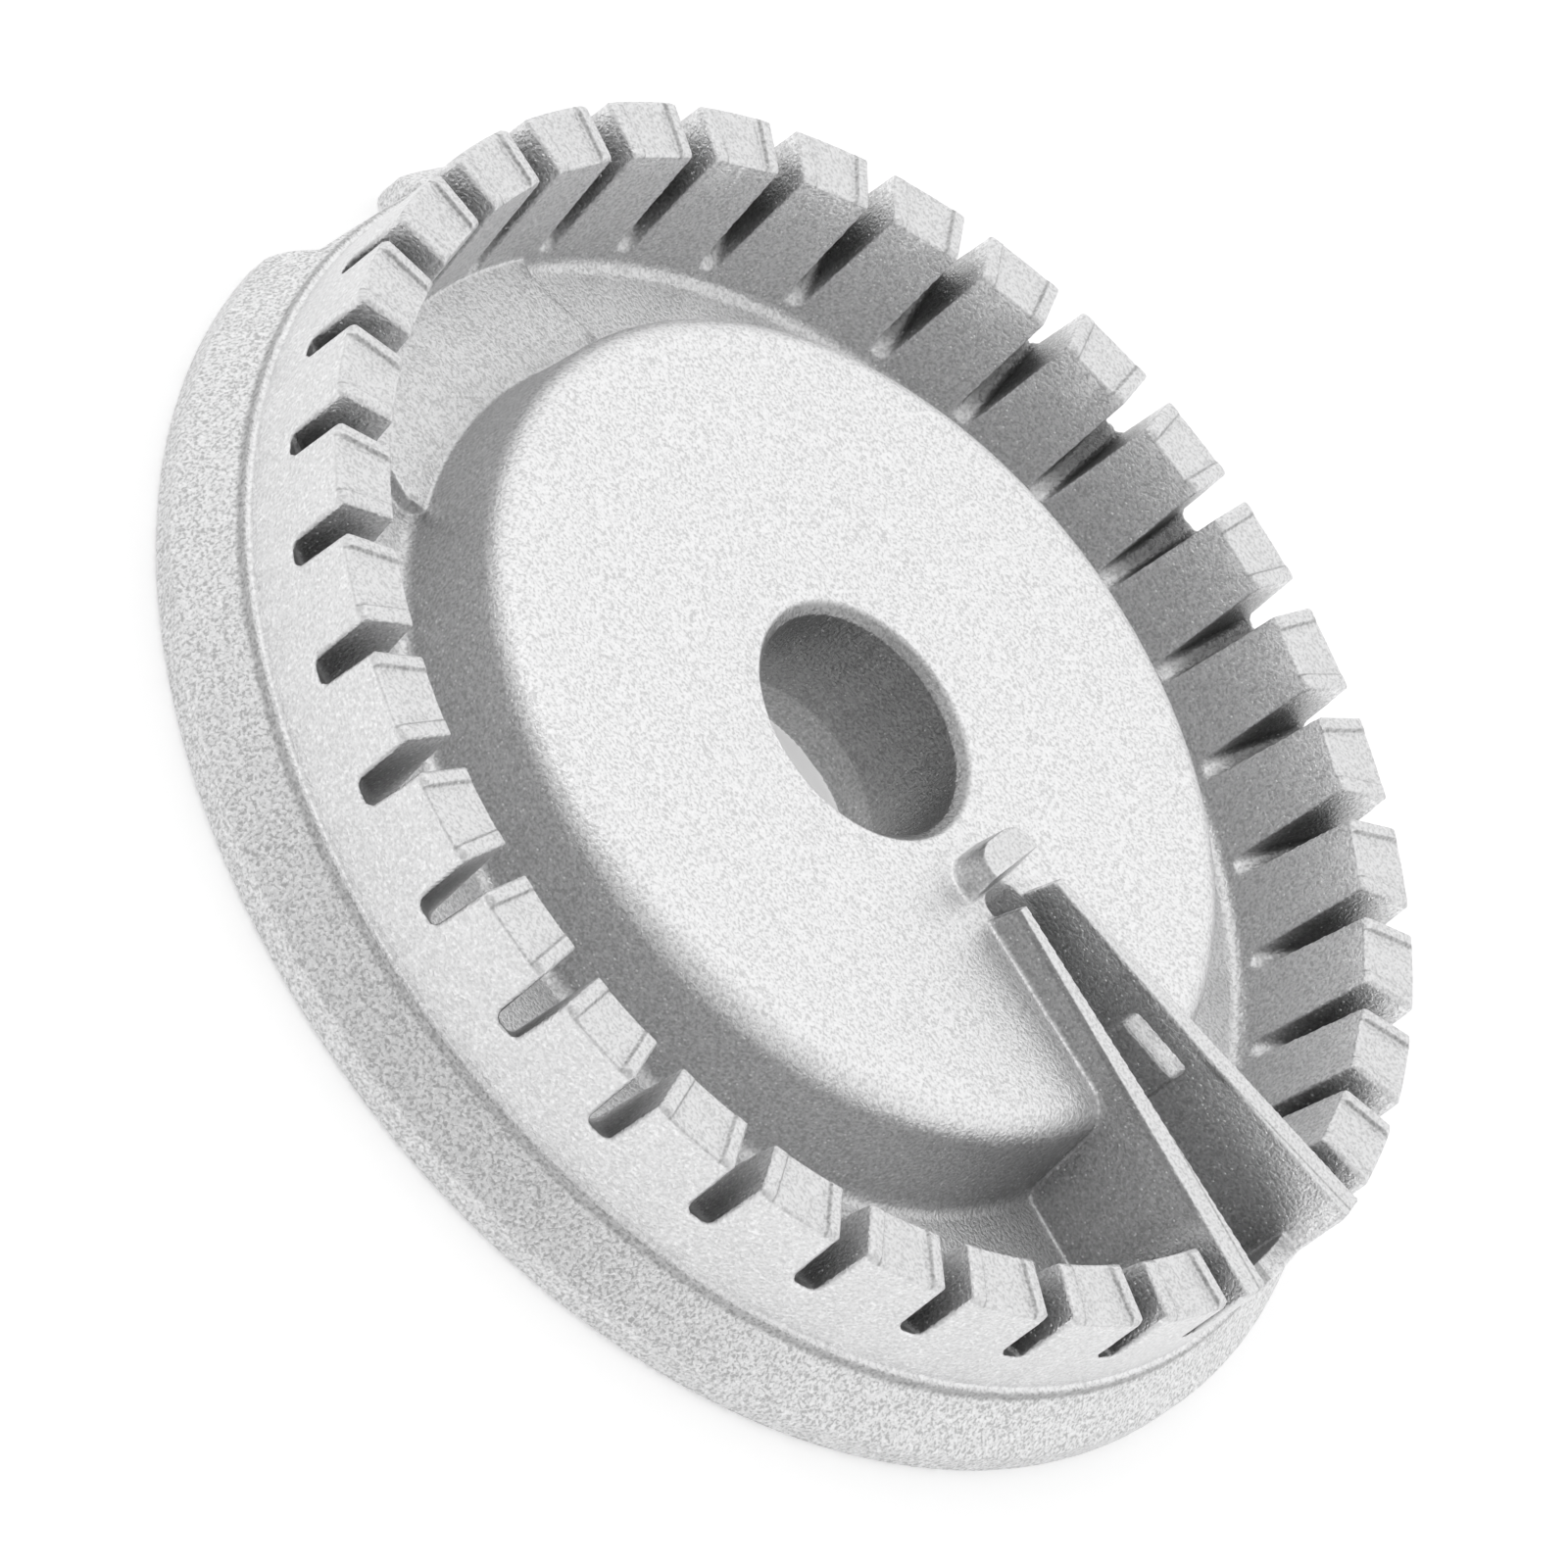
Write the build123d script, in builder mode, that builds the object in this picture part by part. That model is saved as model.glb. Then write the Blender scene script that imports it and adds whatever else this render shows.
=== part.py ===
from build123d import *
import os
from math import cos, radians, sqrt, tan

os.makedirs("parts", exist_ok=True)

# The gas burner base is one casting. It stands on the plane z = 0, the bore runs up the Z axis,
# and the ignition channel runs out along +X.

# Crown: the toothed ring whose slots are the flame ports
crown_d = 75.0            # outer diameter of the toothed ring
overall_h = 13.0          # resting plane to the tooth tops
crown_wall_top = 3.55     # thickness of the ring at the tooth tops
crown_wall_foot = 5.0     # thickness of the ring at the floor of the ring channel
top_outer_chamfer = 0.35  # broken outer top edge of each tooth
top_inner_chamfer = 0.25  # broken inner top edge

# Slots
pitches = 33              # places around the ring, two of them taken by the ignition channel
slot_w = 1.86             # width at the tooth tops
slot_draft = 2.2          # draft of each slot wall, degrees
slot_depth_out = 4.35     # tooth top to slot floor at the outer wall
slot_depth_in = 8.55      # tooth top to slot floor where it comes out in the ring channel
slot_tip_gap = 0.05       # how far inside the foot of the ring the slot floor comes out
slot_floor_round = 0.45   # rounding along both sides of the slot floor
lip_chamfer = 0.2         # broken edge where a slot wall meets the tooth top
mouth_chamfer = 0.3       # broken upright edges at the slot mouths

# Tooth tops: a shallow flat between two lips
lip_w = 0.85              # width of each lip along a slot
lip_h = 0.25              # how far the lips stand above the flat

# Flange and rim under the crown
flange_w = 2.5            # how far the flange stands out beyond the crown
rim_h = 1.75              # height of the upright rim
rim_chamfer = 0.25        # broken lower edge of the rim
rim_round = 0.4           # rounding of the upper edge of the rim
crown_foot_z = 5.2        # height of the small step at the foot of the crown
step_w = 0.4              # width of that step
step_drop = 0.45          # drop of that step
rest_ring_w = 3.2         # width of the flat ring it stands on
notch_w = 11.0            # width of the locating notch, opposite the channel
notch_gap = 0.5           # distance from the crown face to the floor of the notch
notch_round = 1.5         # rounding of the two corners of the flange beside the notch

# Ring channel between crown and plateau
ring_channel_w = 6.4      # width of its floor, before the fillets
moat_floor_z = 3.6
moat_fillet_out = 0.9     # fillet at the foot of the crown
moat_fillet_in = 0.9      # fillet at the foot of the plateau
pad_h = 0.9               # height of the raised pad above the floor
pad_angle = 184.5         # direction of the pad, degrees from +X
pad_w_out = 19.0          # width of the pad at the foot of the crown
pad_w_in = 22.3           # width of the pad at the foot of the plateau
pad_bend = 1.2            # the sides of the pad are radial over this length at both ends
pad_draft = 5.0           # draft of the sides of the pad, degrees

# Plateau
plateau_lean = 0.7        # how far the foot of its side stands out
shoulder_r = 1.9          # radius of the rounded shoulder
plateau_edge_z = 11.1     # height of the top face at the shoulder
plateau_dish = 0.6        # how much lower the top face is at the bore

# Bore
bore_d = 13.6
bore_chamfer = 0.6
bore_step = 0.5           # the lower length of the bore is wider by this on each side
bore_low_h = 2.7          # height of that wider length

# Ignition channel: two walls on radial lines with a trench between them
trench_half = 7.1         # half angle between the inner wall faces, degrees
wall_half = 9.9           # half angle between the outer wall faces, degrees
trench_gap = 4.5          # metal between the bore and the inner end of the trench
trench_end_round = 1.0    # rounding of the corners at the inner end
trench_floor_round = 0.6
wall_gap = 1.3            # the walls begin this far out from the end of the trench
wall_lean = 0.55          # how far the sloped inner end of a wall leans outwards
wall_inset = 0.05         # how far the outer wall ends stay inside the crown face
sill_depth = 3.9          # tooth top to the sill at the mouth of the trench
sill_w = 1.3              # thickness of that sill
channel_draft = 1.2       # draft of trench and walls, degrees

# Window in one wall of the channel
window_l = 4.2
window_h = 1.45
window_past = 0.2         # how far it reaches out past the side of the plateau
window_drop = 1.15        # plateau top to the sill of the window
window_round = 0.4
window_reach = 1.6        # how far the sill runs on behind the wall
pocket_depth = 0.3        # depth of the shallow pocket under the window

# Locating nub beside the trench: a D with its flat against the trench
nub_l = 1.8               # from the flat to the rounded side, at the top
nub_w = 4.6               # width across the flat, at the top
nub_gap = 0.3             # from the flat, at the top, to the end of the trench
nub_round = 1.4           # rounding of the two inner corners, at the top
nub_draft = 7.0           # degrees

# Casting walls seen from below
plateau_roof = 2.2        # thickness of the plateau
side_wall = 2.2           # thickness of the plateau side and of the trench walls
tube_wall = 2.4           # wall of the tube around the bore
floor_wall = 2.0          # thickness under the ring channel and the trench
inner_chamfer = 0.9       # broken inner corners of the hollow

# Derived values
crown_r = crown_d / 2
inner_top_r = crown_r - crown_wall_top
inner_foot_r = crown_r - crown_wall_foot
flange_r = crown_r + flange_w
notch_r = crown_r + notch_gap
plateau_foot_r = inner_foot_r - ring_channel_w
plateau_side_r = plateau_foot_r - plateau_lean
shoulder_x = plateau_side_r - shoulder_r
plateau_rim_z = plateau_edge_z - plateau_dish
bore_r = bore_d / 2
bore_low_r = bore_r + bore_step
pitch = 360 / pitches
top_z = overall_h
slot_out_z = top_z - slot_depth_out
slot_in_z = top_z - slot_depth_in
slot_tip_r = inner_foot_r - slot_tip_gap
floor_slope = (slot_out_z - slot_in_z) / (crown_r - slot_tip_r)
under_z = moat_floor_z - floor_wall
trench_start_x = bore_r + trench_gap
wall_foot_x = trench_start_x + wall_gap
wall_slope = tan(radians(wall_half))
trench_slope = tan(radians(trench_half))
draft_slope = tan(radians(channel_draft))
window_end = plateau_side_r + window_past
window_start = window_end - window_l
window_sill_z = plateau_edge_z - window_drop
bite = 1.0                      # overlap that makes joined shapes cut cleanly through each other
reach = flange_r + bite         # cutters run this far out
above = top_z + bite            # and this far up

# Turned form: half section of the whole casting before slots, channel and hollow
with BuildPart() as body:
    with BuildSketch(Plane.XZ):
        with BuildLine():
            l1 = Polyline(
                (bore_low_r, 0), (bore_low_r, bore_low_h), (bore_r, bore_low_h),
                (bore_r, plateau_rim_z - bore_chamfer), (bore_r + bore_chamfer, plateau_rim_z),
                (shoulder_x, plateau_edge_z),
            )
            l2 = RadiusArc(l1 @ 1, (plateau_side_r, plateau_edge_z - shoulder_r), shoulder_r)
            l3 = Polyline(
                l2 @ 1, (plateau_foot_r, moat_floor_z), (inner_foot_r, moat_floor_z),
                (inner_top_r, top_z), (crown_r, top_z), (crown_r, crown_foot_z),
                (crown_r + step_w, crown_foot_z), (crown_r + step_w, crown_foot_z - step_drop),
                (flange_r, rim_h), (flange_r, rim_chamfer), (flange_r - rim_chamfer, 0), (bore_low_r, 0),
            )
        make_face()
    revolve(axis=Axis.Z)

    def ring_edge(radius, z):
        rings = body.edges().filter_by(GeomType.CIRCLE)
        return rings.sort_by(lambda e: abs(e.radius - radius) + abs(e.arc_center.Z - z))[0]

    chamfer(ring_edge(crown_r, top_z), top_outer_chamfer)
    chamfer(ring_edge(inner_top_r, top_z), top_inner_chamfer)
    fillet(ring_edge(inner_foot_r, moat_floor_z), moat_fillet_out)
    fillet(ring_edge(plateau_foot_r, moat_floor_z), moat_fillet_in)
    fillet(ring_edge(flange_r, rim_h), rim_round)

# One slot cutter: a drafted blade whose lower edge rises outwards like the slot floor
with BuildPart() as slot_cutter:
    start = slot_tip_r - bite
    half_top = slot_w / 2
    blade_low_z = slot_in_z - 2 * bite * floor_slope
    half_low = half_top - (top_z - blade_low_z) * tan(radians(slot_draft))
    half_lip = half_top + lip_chamfer
    with BuildSketch(Plane.YZ.offset(start)):
        Polygon((-half_low, blade_low_z), (half_low, blade_low_z), (half_top, top_z - lip_chamfer),
                (half_lip, top_z), (half_lip, above), (-half_lip, above), (-half_lip, top_z),
                (-half_top, top_z - lip_chamfer), align=None)
    extrude(amount=reach - start)
    with BuildSketch(Plane.XZ):
        Polygon(
            (start - bite, slot_in_z - floor_slope * (slot_tip_r - start + bite)),
            (reach + bite, slot_in_z + floor_slope * (reach + bite - slot_tip_r)),
            (reach + bite, above), (start - bite, above), align=None,
        )
    extrude(amount=slot_w, both=True, mode=Mode.INTERSECT)
    slot_floor = slot_cutter.faces().sort_by(Axis.Z)[0]
    fillet(slot_floor.edges().sort_by(SortBy.LENGTH)[-2:], slot_floor_round)
    # the flare that breaks the upright edges at the mouth of the slot
    with BuildSketch(Plane.XY.offset(above)):
        flare_half = half_top + (above - top_z) * tan(radians(slot_draft))
        flare_end = flare_half + mouth_chamfer + reach - crown_r
        Polygon((crown_r - mouth_chamfer, -flare_half), (reach, -flare_end), (reach, flare_end),
                (crown_r - mouth_chamfer, flare_half), align=None)
    extrude(amount=-(above - slot_out_z - slot_floor_round / 2), taper=slot_draft)

# Tooth tops: the flat between two lips, a shallow wedge centred on a tooth
with BuildPart() as flat_cutter:
    lip_shift = (slot_w / 2 + lip_w) / cos(radians(pitch / 2))
    flat_in = (start - bite) * tan(radians(pitch / 2)) - lip_shift
    flat_out = reach * tan(radians(pitch / 2)) - lip_shift
    with BuildSketch(Plane.XY.offset(top_z - lip_h)):
        Polygon((start - bite, -flat_in), (reach, -flat_out), (reach, flat_out), (start - bite, flat_in),
                align=None)
    extrude(amount=lip_h + bite)

# Channel walls: one drafted wedge on radial lines, the trench is cut out of it later
with BuildPart() as channel_block:
    with BuildSketch(Plane.XY.offset(top_z)):
        wall_in = wall_foot_x - bite
        Polygon((wall_in, -wall_in * wall_slope), (reach, -reach * wall_slope), (reach, reach * wall_slope),
                (wall_in, wall_in * wall_slope), align=None)
    extrude(amount=-(top_z - under_z), taper=-channel_draft)
    with BuildSketch(Plane.XY.offset(under_z)):
        Circle(crown_r - wall_inset)
    extrude(amount=top_z, mode=Mode.INTERSECT)
    # the inner ends slope down to the plateau
    with BuildSketch(Plane.XZ):
        Polygon((wall_foot_x, under_z), (wall_foot_x, plateau_rim_z), (wall_foot_x + wall_lean, top_z),
                (reach, top_z), (reach, under_z), align=None)
    extrude(amount=reach, both=True, mode=Mode.INTERSECT)

# Trench: drafted the other way, it ends against the sill under the crown
with BuildPart() as trench:
    with BuildSketch(Plane.XY.offset(above)):
        spread = trench_slope + (above - top_z) * draft_slope / crown_r
        Polygon((trench_start_x, -trench_start_x * spread), (reach, -reach * spread),
                (reach, reach * spread), (trench_start_x, trench_start_x * spread), align=None)
        fillet(vertices().sort_by(Axis.X)[:2], trench_end_round)
    extrude(amount=-(above - moat_floor_z), taper=channel_draft)
    with BuildSketch(Plane.XY.offset(moat_floor_z)):
        Circle(crown_r - sill_w)
    extrude(amount=above, mode=Mode.INTERSECT)
    fillet(trench.faces().sort_by(Axis.Z)[0].edges(), trench_floor_round)

# Mouth: the same width, cut over the sill and out through the crown
with BuildPart() as mouth:
    with BuildSketch(Plane.XY.offset(top_z - sill_depth)):
        mouth_x = crown_r - sill_w - bite
        spread = trench_slope - sill_depth * draft_slope / crown_r
        Polygon((mouth_x, -mouth_x * spread), (reach, -reach * spread), (reach, reach * spread),
                (mouth_x, mouth_x * spread), align=None)
    extrude(amount=above - top_z + sill_depth, taper=-channel_draft)

# Window through one wall; under its sill the face of the wall steps back a little
with BuildPart() as window:
    window_face_y = window_start * trench_slope - bite
    with BuildSketch(Plane.XZ.offset(-window_face_y)):
        with Locations(((window_start + window_end) / 2, window_sill_z + window_h / 2)):
            RectangleRounded(window_l, window_h, window_round)
    extrude(amount=-(window_end * wall_slope + window_reach - window_face_y))
    pocket_z = moat_floor_z + trench_floor_round
    with BuildSketch(Plane.XY.offset(pocket_z)):
        depth = pocket_depth - (top_z - window_sill_z) * draft_slope
        face_in = window_start * trench_slope
        face_out = window_end * trench_slope
        Polygon((window_start, face_in - bite), (window_end, face_out - bite), (window_end, face_out + depth),
                (window_start, face_in + depth), align=None)
    extrude(amount=window_sill_z + window_round - pocket_z)

# Hollow under the plateau and the ring channel, with even walls
with BuildPart() as hollow:
    with BuildSketch(Plane.XZ):
        tube_r = bore_r + tube_wall
        roof_z = plateau_rim_z - plateau_roof
        roof_r = plateau_side_r - side_wall
        skirt_r = flange_r - rest_ring_w
        Polygon((tube_r, -bite), (tube_r, roof_z - inner_chamfer), (tube_r + inner_chamfer, roof_z),
                (roof_r - inner_chamfer, roof_z), (roof_r, roof_z - inner_chamfer),
                (plateau_foot_r - side_wall, under_z), (skirt_r, under_z), (skirt_r, -bite), align=None)
    revolve(axis=Axis.Z)
    with BuildSketch(Plane.XY.offset(under_z)):
        back = trench_start_x - side_wall
        far_x = plateau_foot_r + side_wall
        half_in = back * trench_slope + side_wall
        half_out = far_x * trench_slope + side_wall
        Polygon((back, -half_in), (far_x, -half_out), (far_x, half_out), (back, half_in), align=None)
    extrude(amount=top_z, mode=Mode.SUBTRACT)

# Raised pad across the ring channel; its sides are radial where they meet the plateau and the crown
with BuildPart() as pad:
    with BuildSketch(Plane.XY.offset(moat_floor_z + pad_h)):
        near_r = plateau_foot_r + pad_bend
        far_r = inner_foot_r - pad_bend
        narrowing = (pad_w_in - pad_w_out) / 2 / ring_channel_w
        near_y = pad_w_in / 2 - pad_bend * narrowing
        far_y = pad_w_out / 2 + pad_bend * narrowing
        near_x = sqrt(near_r**2 - near_y**2)
        far_x = sqrt(far_r**2 - far_y**2)
        inward = plateau_foot_r / near_r / 2
        outward = (crown_r - bite) / far_r
        side = [(near_x * inward, near_y * inward), (near_x, near_y), (far_x, far_y),
                (far_x * outward, far_y * outward)]
        Polygon(*side, *[(x, -y) for x, y in reversed(side)], align=None)
    extrude(amount=-(pad_h + bite), taper=-pad_draft)

# Nub: it narrows upwards, so its outline is drawn at the top and widens downwards
with BuildPart() as nub:
    with BuildSketch(Plane.XY.offset(top_z)):
        with Locations((trench_start_x - nub_gap, 0)):
            Rectangle(nub_l, nub_w, align=(Align.MAX, Align.CENTER))
        fillet(vertices().sort_by(Axis.X)[:2], nub_round)
    extrude(amount=-(top_z - plateau_rim_z + bite), taper=-nub_draft)

# Locating notch in the flange; the two corners beside it are rounded off
with BuildPart() as notch:
    with BuildSketch(Plane.XY.offset(-bite)):
        with BuildLine():
            half = notch_w / 2
            round_end = sqrt(flange_r**2 - (half + notch_round) ** 2)
            n1 = Polyline((-notch_r, 0), (-notch_r, half), (notch_round - round_end, half))
            n2 = RadiusArc(n1 @ 1, (-round_end, half + notch_round), notch_round)
            Polyline(n2 @ 1, (-reach, half + notch_round), (-reach, 0))
            mirror(about=Plane.XZ)
        make_face()
    extrude(amount=crown_foot_z + bite)

# The casting
with BuildPart() as burner_base:
    add(body.part)
    with PolarLocations(0, pitches - 1, start_angle=pitch, angular_range=360 - 2 * pitch, endpoint=True):
        add(slot_cutter.part, mode=Mode.SUBTRACT)
    with PolarLocations(0, pitches - 2, start_angle=1.5 * pitch, angular_range=360 - 3 * pitch,
                        endpoint=True):
        add(flat_cutter.part, mode=Mode.SUBTRACT)
    with Locations(Location((0, 0, 0), (0, 0, pad_angle))):
        add(pad.part)
    add(channel_block.part)
    add(nub.part)
    add(trench.part, mode=Mode.SUBTRACT)
    add(mouth.part, mode=Mode.SUBTRACT)
    add(window.part, mode=Mode.SUBTRACT)
    add(hollow.part, mode=Mode.SUBTRACT)
    add(notch.part, mode=Mode.SUBTRACT)

burner_base.part.label = "burner_base"
export_step(burner_base.part, "parts/burner_base.step")
print("faces", len(burner_base.faces()), "box", burner_base.part.bounding_box())
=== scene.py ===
# %% [markdown]
# # A gas burner base of cast aluminium
# The object is one casting: a toothed crown, a round plateau with a bore, and an ignition channel.
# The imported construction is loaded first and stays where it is. Everything else in this lesson is
# its cast skin, its finish, the light, the floor and the camera.

# %% Load the casting
import bpy
from math import cos, pi, radians, sin
from mathutils import Matrix, Vector


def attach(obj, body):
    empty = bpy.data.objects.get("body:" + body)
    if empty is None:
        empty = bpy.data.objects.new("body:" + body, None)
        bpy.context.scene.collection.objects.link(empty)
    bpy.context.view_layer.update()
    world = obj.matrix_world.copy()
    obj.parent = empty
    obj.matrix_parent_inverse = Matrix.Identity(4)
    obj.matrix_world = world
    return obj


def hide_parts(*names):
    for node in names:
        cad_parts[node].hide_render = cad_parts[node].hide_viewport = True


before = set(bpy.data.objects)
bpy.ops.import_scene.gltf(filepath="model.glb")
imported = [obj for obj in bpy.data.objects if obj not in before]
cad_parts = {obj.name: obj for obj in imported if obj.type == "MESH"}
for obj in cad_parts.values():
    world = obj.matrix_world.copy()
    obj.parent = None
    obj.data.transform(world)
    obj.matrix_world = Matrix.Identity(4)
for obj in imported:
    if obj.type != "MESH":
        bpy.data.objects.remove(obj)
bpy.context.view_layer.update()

MM = 0.001
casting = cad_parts["burner_base"]
print("triangles", sum(len(p.vertices) - 2 for p in casting.data.polygons))

# %% [markdown]
# ## The cast skin
# Metal that was poured has no knife edges: every corner is a little round, and every inner corner
# holds a small fillet. The construction has the large roundings only, with flat facets between
# sharp lines. So a copy of it is built again from small cubes, rubbed smooth and thinned out. The
# cubes are much finer than the lips on the tooth tops are high, so that the lips live through the
# rubbing. The copy then stands for the construction and moves with the same body.

# %% Rebuild the surface in small steps
VOXEL = 0.1 * MM
RUBBINGS = 2
FACE_LIMIT = 190000

skin = bpy.data.objects.new("cast_skin", casting.data.copy())
bpy.context.scene.collection.objects.link(skin)
skin.matrix_world = casting.matrix_world

rebuild = skin.modifiers.new("rebuild", "REMESH")
rebuild.mode = "VOXEL"
rebuild.voxel_size = VOXEL
rub = skin.modifiers.new("rub", "SMOOTH")
rub.factor = 0.5
rub.iterations = RUBBINGS


def take_shape(piece):
    """Turn what the modifiers make into the mesh itself."""
    shaped = bpy.data.meshes.new_from_object(piece.evaluated_get(bpy.context.evaluated_depsgraph_get()))
    piece.modifiers.clear()
    piece.data = shaped
    return sum(len(p.vertices) - 2 for p in shaped.polygons)


dense = take_shape(skin)
thin = skin.modifiers.new("thin", "DECIMATE")
thin.ratio = min(1.0, FACE_LIMIT / dense)
light = take_shape(skin)
skin.data.shade_smooth()
print("skin triangles", dense, "thinned to", light)

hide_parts("burner_base")
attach(skin, "root")

# %% [markdown]
# ## The finish: die-cast and blasted aluminium
# The real part comes out of the die and is blasted, which leaves a coarse grain like wet sand, with
# a thin dark line round each grain. It is bare metal of one pale grey. Part of what looks like light
# and dark is the metal mirroring bright or dark surroundings in countless tiny facets, which a
# metallic shader with a rough surface gives. The rest is painted shade and painted highlight in its
# colour, worked out by many small sums, and a few helpers keep them readable.

# %% Helpers for the node tree


def add_node(tree, kind, name, **sockets):
    node = tree.nodes.new(kind)
    node.name = node.label = name
    for key, value in sockets.items():
        node.inputs[key.replace("_", " ")].default_value = value
    return node


def feed(tree, source, socket):
    """A number goes onto the socket, an output is linked to it."""
    if isinstance(source, (int, float)):
        socket.default_value = source
    else:
        tree.links.new(source, socket)


def sum_node(tree, operation, name, *sources):
    node = add_node(tree, "ShaderNodeMath", name)
    node.operation = operation
    for source, socket in zip(sources, node.inputs):
        feed(tree, source, socket)
    return node.outputs[0]


def ramp(tree, name, source, low, high, to_low, to_high):
    """Values from low to high become to_low to to_high, and stay there beyond."""
    node = add_node(tree, "ShaderNodeMapRange", name, From_Min=low, From_Max=high, To_Min=to_low, To_Max=to_high)
    feed(tree, source, node.inputs["Value"])
    return node.outputs["Result"]


# %% The metal, and where a point of it lies
aluminium = bpy.data.materials.new("cast_aluminium")
aluminium.use_nodes = True
metal_tree = aluminium.node_tree
metal_tree.nodes.clear()
link = metal_tree.links.new
output = add_node(metal_tree, "ShaderNodeOutputMaterial", "output")
metal = add_node(metal_tree, "ShaderNodeBsdfPrincipled", "metal", Metallic=1.0, Roughness=0.45)
link(metal.outputs["BSDF"], output.inputs["Surface"])

place = add_node(metal_tree, "ShaderNodeTexCoord", "place")
in_mm = add_node(metal_tree, "ShaderNodeVectorMath", "in_mm")
in_mm.operation = "SCALE"
in_mm.inputs["Scale"].default_value = 1 / MM
link(place.outputs["Object"], in_mm.inputs[0])
axes = add_node(metal_tree, "ShaderNodeSeparateXYZ", "axes")
link(in_mm.outputs[0], axes.inputs[0])
x, y, z = (axes.outputs[axis] for axis in "XYZ")
surface = add_node(metal_tree, "ShaderNodeNewGeometry", "surface")
facing = add_node(metal_tree, "ShaderNodeSeparateXYZ", "facing")
link(surface.outputs["Normal"], facing.inputs[0])
x_part = sum_node(metal_tree, "MULTIPLY", "x_part", x, x)
y_part = sum_node(metal_tree, "MULTIPLY", "y_part", y, y)
radius = sum_node(metal_tree, "SQRT", "radius", sum_node(metal_tree, "ADD", "radius_squared", x_part, y_part))


def rising(name, source, low, high):
    """0 up to low, 1 from high on."""
    return ramp(metal_tree, name, source, low, high, 0.0, 1.0)


def falling(name, source, low, high):
    """1 up to low, 0 from high on."""
    return ramp(metal_tree, name, source, low, high, 1.0, 0.0)


def where_all(name, first, *others):
    """The zone where all of these zones are 1."""
    for number, zone in enumerate(others):
        first = sum_node(metal_tree, "MULTIPLY", name + str(number), first, zone)
    return first


def pile_up(name, start, *layers):
    """Each layer is a zone and what it adds there."""
    for number, (zone, change) in enumerate(layers):
        start = sum_node(metal_tree, "MULTIPLY_ADD", name + str(number), zone, change, start)
    return start


# %% [markdown]
# The parts of the casting weren't blasted and rubbed alike, and they see different amounts of the
# tent. One picture wrapped round the part could say so, but the casting is round and built from
# few sizes, so its zones are found from the place of a point: its distance from the middle, its
# height in millimetres above the floor, and how steep the surface is there.

# %% Zones of the ring
steep = falling("steep", facing.outputs["Z"], 0.35, 0.85)
flange_zone = rising("flange_zone", radius, 37.7, 37.85)
tooth_tops = rising("tooth_tops", z, 12.5, 12.65)
crown_wall = where_all("crown_wall", rising("past_core", radius, 37.1, 37.3), steep)
# Painted shade: the drop face of the step at the foot of the crown is darkened in colour.
step_shade = where_all("step_shade", flange_zone, rising("over_flange", z, 4.55, 4.75))
# Painted shade: inside 7.2 mm of the middle the bore's colour is darkened to about half.
BORE_SHADE = 0.48
bore_shade = ramp(metal_tree, "bore_shade", radius, 7.2, 7.5, BORE_SHADE, 1.0)
print("zones so far: steep faces, flange, tooth tops, crown wall, step and bore")

# %% [markdown]
# The outer faces of the two channel walls and the sides of the nub mirror the dim side of the room,
# so they are darker than the plateau they stand on. The walls stand on radial lines, so a point
# lies at a wall when its distance to the side is a fixed share of its distance along the channel.
# The plateau is a shallow dish, and its slope is taken off before a height above it is measured.

# %% Sides of the channel walls and of the nub
INNER_FACE, OUTER_FACE = 0.15, 0.1745
DISH_SLOPE = 0.033
to_side = sum_node(metal_tree, "ABSOLUTE", "to_side", y)
past_inner_face = sum_node(metal_tree, "MULTIPLY_ADD", "past_inner_face", x, -INNER_FACE, to_side)
past_outer_face = sum_node(metal_tree, "MULTIPLY_ADD", "past_outer_face", x, -OUTER_FACE, to_side)
wall_side = where_all("wall_side", steep, rising("outside", past_inner_face, 0.0, 0.1),
                      falling("at_face", past_outer_face, 0.25, 0.45), rising("past_nub", radius, 11.6, 12.0),
                      falling("before_crown", radius, 32.0, 33.0))
over_dish = sum_node(metal_tree, "MULTIPLY_ADD", "over_dish", radius, -DISH_SLOPE, z)
above_plateau = rising("above_plateau", over_dish, 10.45, 10.6)
upper_side = where_all("upper_side", wall_side, above_plateau, falling("plateau_reach", radius, 24.5, 27.0))
nub_side = where_all("nub_side", steep, above_plateau, falling("nub_reach", radius, 11.2, 11.4))
print("channel walls and nub found between radius 11.2 and 33 mm")

# %% [markdown]
# The inner end of the trench is the other way round. It is deep, but it faces the open mouth of the
# channel, and the light that comes in there makes it a middle grey.

# %% Inner end of the trench
trench_end = where_all("trench_end", steep, falling("under_plateau", over_dish, 10.2, 10.4),
                       rising("past_bore", radius, 8.5, 9.0), falling("before_walls", radius, 12.5, 14.0))

# %% [markdown]
# A fine dark line of painted shade runs where a lip on a tooth top meets the flat between the lips.
# The slots stand at even steps around the ring, so the distance to the nearest slot can be worked out
# from the angle of a point. The line lies at half a slot and the width of a lip from the middle of the
# slot. The same distance finds the inside of a slot, which gets painted shade that deepens with depth.

# %% Slots, and the painted shade line at the foot of each lip
PITCHES = 33
LIP_FOOT = 1.86 / 2 + 0.85
angle = sum_node(metal_tree, "ARCTAN2", "angle", y, x)
place_no = sum_node(metal_tree, "MULTIPLY", "place_no", angle, PITCHES / (2 * pi))
nearest = sum_node(metal_tree, "ROUND", "nearest", place_no)
off_slot = sum_node(metal_tree, "ABSOLUTE", "off_slot", sum_node(metal_tree, "SUBTRACT", "off", place_no, nearest))
turn = sum_node(metal_tree, "MULTIPLY", "turn", off_slot, 2 * pi / PITCHES)
from_slot = sum_node(metal_tree, "MULTIPLY", "from_slot", turn, radius)
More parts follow.
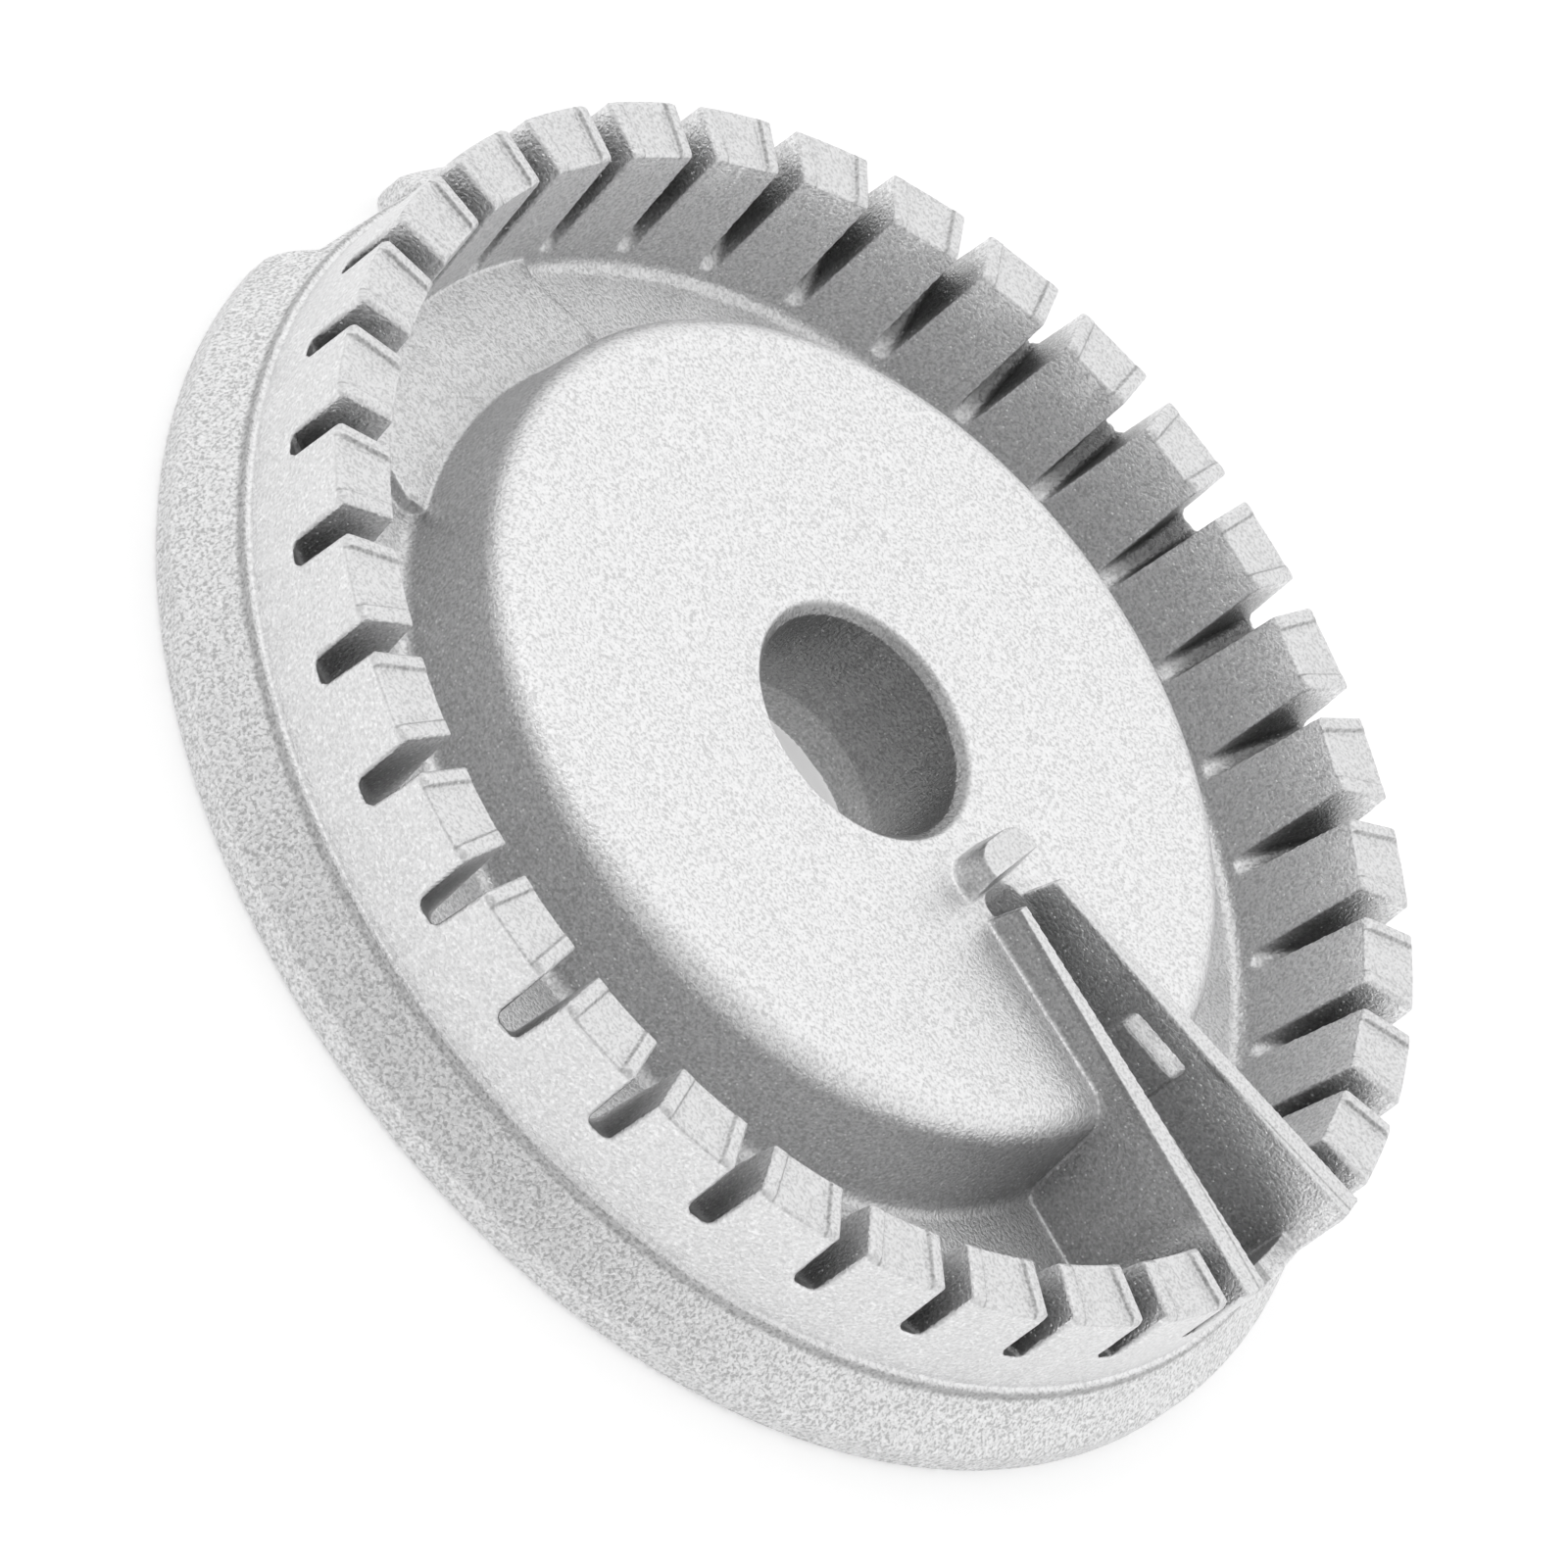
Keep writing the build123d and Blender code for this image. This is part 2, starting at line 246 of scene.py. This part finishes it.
# Painted shade inside the slots, strongest low down and fading towards the tooth tops.
slot_shade = where_all("slot_shade", falling("in_slot", from_slot, 0.98, 1.08), falling("deep", z, 9.5, 12.5),
                       rising("past_tip", radius, 33.2, 34.2), falling("in_ring", radius, 37.35, 37.5))
# Painted shade: a fine dark line at the foot of each lip on the tooth tops.
lip_foot_shade = where_all("lip_foot_shade", rising("line_in", from_slot, LIP_FOOT - 0.09, LIP_FOOT - 0.01),
                     falling("line_out", from_slot, LIP_FOOT + 0.05, LIP_FOOT + 0.15), tooth_tops)
print("lip line", round(LIP_FOOT, 2), "mm from the middle of a slot")

# %% [markdown]
# The grain is one noise used three times: its low values are the winding dark gaps between bumps,
# its peaks are the sparkling facets, and its height is the relief. The flange was left as blasted
# and is the coarsest, while the outer wall of the crown was rubbed smoother.

# %% The grain
grain = add_node(metal_tree, "ShaderNodeTexNoise", "grain", Scale=5.0, Detail=1.0, Roughness=0.5, Distortion=0.5)
link(in_mm.outputs[0], grain.inputs["Vector"])
height = grain.outputs["Fac"]
gaps = falling("gaps", height, 0.34, 0.54)
peaks = rising("peaks", height, 0.60, 0.70)
GAP_DEPTH = 0.26
gap_depth = pile_up("gap_depth", GAP_DEPTH, (flange_zone, 0.18), (tooth_tops, -0.04), (crown_wall, -0.10))
gap_dark = sum_node(metal_tree, "MULTIPLY", "gap_dark", gaps, gap_depth)

# %% [markdown]
# Light that falls into a deep corner bounces many times and loses a part each time, so the slots,
# the trench and the bore are much darker than open faces. A shader that looks how far a point is
# shut in by its neighbours gives that. Steep faces and floors answer to it in their own measure.

# %% How shut in a point is


def look_round(name, reach, samples):
    node = add_node(metal_tree, "ShaderNodeAmbientOcclusion", name, Distance=reach)
    node.samples = samples
    node.only_local = True
    return node


shut_in = look_round("shut_in", 16 * MM, 2)
open_wall = ramp(metal_tree, "open_wall", shut_in.outputs["AO"], 0.0, 0.38, 0.42, 1.0)
open_floor = ramp(metal_tree, "open_floor", shut_in.outputs["AO"], 0.0, 0.22, 0.50, 1.0)
wall_part = sum_node(metal_tree, "MULTIPLY", "wall_part", steep, open_wall)
floor_share = sum_node(metal_tree, "SUBTRACT", "floor_share", 1.0, steep)
floor_part = sum_node(metal_tree, "MULTIPLY", "floor_part", floor_share, open_floor)
lit = sum_node(metal_tree, "ADD", "lit", wall_part, floor_part)

# %% [markdown]
# The same kind of shader, looking at the nearest half millimetre only, finds the foot of each step.
# On the tooth tops and the flange the foot gets painted shade and is dark. The fillets inside the casting
# are the other way round: they get a painted highlight, as if their curve caught the light. A third one
# looks into the metal instead of out of it, and finds the outer edges, which get a painted highlight.

# %% Painted shade at the feet, painted highlight on the edges
crease = look_round("crease", 0.5 * MM, 1)
# Painted shade at the feet of steps on the tooth tops and flange, painted highlight on the fillets elsewhere.
foot = falling("foot", crease.outputs["AO"], 0.55, 0.92)
shaded_feet = sum_node(metal_tree, "MAXIMUM", "shaded_feet", tooth_tops, flange_zone)
foot_shade_and_highlight = sum_node(metal_tree, "MULTIPLY_ADD", "foot_shade_and_highlight", shaded_feet, -0.80, 0.30)
# Painted highlight on the outer edges.
edge_look = look_round("edge_look", 0.3 * MM, 1)
edge_look.inside = True
edge_highlight = falling("edge_highlight", edge_look.outputs["AO"], 0.55, 0.92)

# %% [markdown]
# Here and there one grain stands at just the angle that mirrors the white tent, and it shows as a
# bright speck on a dark wall. A cell pattern gives each cell a dot, and only the cells whose drawn
# colour is high keep theirs. The outer wall of the crown was rubbed, so it has none.

# %% Specks that catch the light
cells = add_node(metal_tree, "ShaderNodeTexVoronoi", "cells", Scale=3.4)
link(in_mm.outputs[0], cells.inputs["Vector"])
cell_colour = add_node(metal_tree, "ShaderNodeSeparateColor", "cell_colour")
link(cells.outputs["Color"], cell_colour.inputs[0])
unrubbed = sum_node(metal_tree, "SUBTRACT", "unrubbed", steep, crown_wall)
wall_specks = where_all("wall_specks", falling("cell_dot", cells.outputs["Distance"], 0.12, 0.30),
                        rising("lucky", cell_colour.outputs["Red"], 0.70, 0.80), unrubbed)

# %% [markdown]
# Now the layers are put on each other: the bare tone with its gaps and its painted shade, the painted shade and
# highlight at the feet and the painted shade line at the lips, then the painted sparkle, specks and edge
# highlights, and last the zone tones, mostly painted shade and light, that make each zone lighter or darker than
# the rest.
# Aluminium is a hair bluer than grey, so blue keeps its full share.

# %% The tone of the metal, with its painted shade and highlights
METAL_TONE = 0.93
SHARES = {"Red": 0.995, "Green": 0.995, "Blue": 1.0}
bare = sum_node(metal_tree, "MULTIPLY", "bare", sum_node(metal_tree, "SUBTRACT", "gap_shade", 1.0, gap_dark), lit)
sparkle = sum_node(metal_tree, "MULTIPLY_ADD", "sparkle", steep, 0.12, 0.05)
# Painted shade at the feet and lip lines, painted highlights from the sparkle, specks and edges.
tone = pile_up("tone", bare, (foot, foot_shade_and_highlight), (lip_foot_shade, -0.30), (peaks, sparkle), (wall_specks, 0.8),
               (edge_highlight, 0.20))
# Painted shade darkens the bore, step face, flange, crown wall, slots and channel-wall sides, and the tooth tops
# are set darker too. Painted light makes the trench end lighter.
zone_painted_light = pile_up("zone_painted_light", bore_shade, (step_shade, -0.30), (flange_zone, -0.03), (crown_wall, -0.15),
                    (tooth_tops, -0.12), (slot_shade, -0.42), (wall_side, -0.26), (upper_side, -0.20),
                    (nub_side, -0.22), (trench_end, 1.7))
toned = sum_node(metal_tree, "MULTIPLY", "toned", tone, zone_painted_light)
value = sum_node(metal_tree, "MULTIPLY", "value", toned, METAL_TONE)
grey = add_node(metal_tree, "ShaderNodeCombineColor", "grey")
for colour, share in SHARES.items():
    link(sum_node(metal_tree, "MULTIPLY", "grey_" + colour, value, share), grey.inputs[colour])
link(grey.outputs[0], metal.inputs["Base Color"])

# %% The relief, and the metal goes on
SPECK_HEIGHT = 0.5
bumps = sum_node(metal_tree, "MULTIPLY_ADD", "bumps", wall_specks, SPECK_HEIGHT, height)
relief = add_node(metal_tree, "ShaderNodeBump", "relief", Strength=1.0, Distance=0.06 * MM)
link(bumps, relief.inputs["Height"])
link(relief.outputs["Normal"], metal.inputs["Normal"])
casting.data.materials[0] = aluminium
skin.data.materials.clear()
skin.data.materials.append(aluminium)
print("slots on the casting", [m.name for m in casting.data.materials], "nodes", len(metal_tree.nodes))

# %% [markdown]
# ## Floor and light
# A product picture like this one is taken in a white tent: light comes from everywhere, so there
# are no hard shadows, and the metal mirrors white wherever nothing stands in its way. The floor is
# white paper. It shines a little in the camera's view and in mirrors only, which makes it white
# without more light on the object, and it keeps the shadow. It lies a hair under the casting, so
# that the two never share a plane.

# %% Floor
half = 1.5
under = -0.05 * MM
PAPER = 0.86
LIFT = 0.34
floor_mesh = bpy.data.meshes.new("floor")
corners = [(-half, -half, under), (half, -half, under), (half, half, under), (-half, half, under)]
floor_mesh.from_pydata(corners, [], [(0, 1, 2, 3)])
floor = bpy.data.objects.new("floor", floor_mesh)
bpy.context.scene.collection.objects.link(floor)
paper = bpy.data.materials.new("white_paper")
paper.use_nodes = True
paper_tree = paper.node_tree
paper_tree.nodes.clear()
paper_output = add_node(paper_tree, "ShaderNodeOutputMaterial", "output")
sheet = add_node(paper_tree, "ShaderNodeBsdfPrincipled", "sheet", Roughness=0.9)
sheet.inputs["Base Color"].default_value = (PAPER, PAPER, PAPER, 1)
sheet.inputs["Emission Color"].default_value = (1, 1, 1, 1)
rays = add_node(paper_tree, "ShaderNodeLightPath", "rays")
seen = sum_node(paper_tree, "MAXIMUM", "seen", rays.outputs["Is Camera Ray"], rays.outputs["Is Glossy Ray"])
seen_too = sum_node(paper_tree, "MAXIMUM", "seen_too", seen, rays.outputs["Is Transmission Ray"])
paper_tree.links.new(sum_node(paper_tree, "MULTIPLY", "lift", seen_too, LIFT), sheet.inputs["Emission Strength"])
paper_tree.links.new(sheet.outputs["BSDF"], paper_output.inputs["Surface"])
floor.data.materials.append(paper)
print("floor", 2 * half, "m wide,", -under / MM, "mm under the casting")

# %% [markdown]
# The tent is open where the photographer stands, and the room behind is dim. Faces that mirror
# that side come out grey: the walls inside the casting, which look at it across the plateau, and a
# little of the flange. So the world is white all round and fades towards the open side.

# %% World
OPEN_SIDE = (0.0, -0.785, 0.62)
OPEN_TONE = 0.60
world = bpy.data.worlds.new("tent")
bpy.context.scene.world = world
world.use_nodes = True
world_tree = world.node_tree
backdrop = world_tree.nodes["Background"]
direction = add_node(world_tree, "ShaderNodeTexCoord", "direction")
towards = add_node(world_tree, "ShaderNodeVectorMath", "towards")
towards.operation = "DOT_PRODUCT"
towards.inputs[1].default_value = OPEN_SIDE
world_tree.links.new(direction.outputs["Generated"], towards.inputs[0])
cloth = ramp(world_tree, "cloth", towards.outputs["Value"], 0.35, 0.90, 1.0, OPEN_TONE)
world_tree.links.new(cloth, backdrop.inputs["Color"])
backdrop.inputs["Strength"].default_value = 1.0
bpy.context.scene.view_settings.view_transform = "Standard"

# %% [markdown]
# Light from everywhere leaves no shadow at all, and a part without a shadow floats. One large soft
# lamp from above, to the left, is enough to set it down.

# %% Lamp
lamp_data = bpy.data.lights.new("softbox", "AREA")
lamp_data.shape = "DISK"
lamp_data.size = 0.5
lamp_data.energy = 0.5
lamp = bpy.data.objects.new("softbox", lamp_data)
bpy.context.scene.collection.objects.link(lamp)
lamp.location = (-0.35, -0.25, 0.75)
lamp.rotation_mode = "QUATERNION"
lamp.rotation_quaternion = (-lamp.location).to_track_quat("-Z", "Y")
print("lamp", round(lamp.location.length, 2), "m away")

# %% [markdown]
# ## Camera
# The picture looks down at the part from in front, with a long lens, and the camera is turned on
# its side so that the part leans. Azimuth, height angle, distance and roll were measured from the
# ellipses of the crown and the bore, so they are used here as they are.

# %% Camera
azimuth, elevation, roll, distance = -89.593, 38.313, 53.111, 579.18 * MM
target = Vector((0.136, -4.019, 6.5)) * MM
back = Vector((cos(radians(azimuth)) * cos(radians(elevation)), sin(radians(azimuth)) * cos(radians(elevation)),
               sin(radians(elevation))))
camera_data = bpy.data.cameras.new("camera")
camera_data.sensor_width = 36
camera_data.lens = 246.38
camera = bpy.data.objects.new("camera", camera_data)
bpy.context.scene.collection.objects.link(camera)
camera.location = target + back * distance
look = (-back).to_track_quat("-Z", "Y")
camera.rotation_mode = "QUATERNION"
camera.rotation_quaternion = (look.to_matrix() @ Matrix.Rotation(radians(roll), 3, "Z")).to_quaternion()
camera_data.clip_start, camera_data.clip_end = 0.01, 10
bpy.context.scene.camera = camera
print("camera at", [round(v / MM, 1) for v in camera.location], "mm")
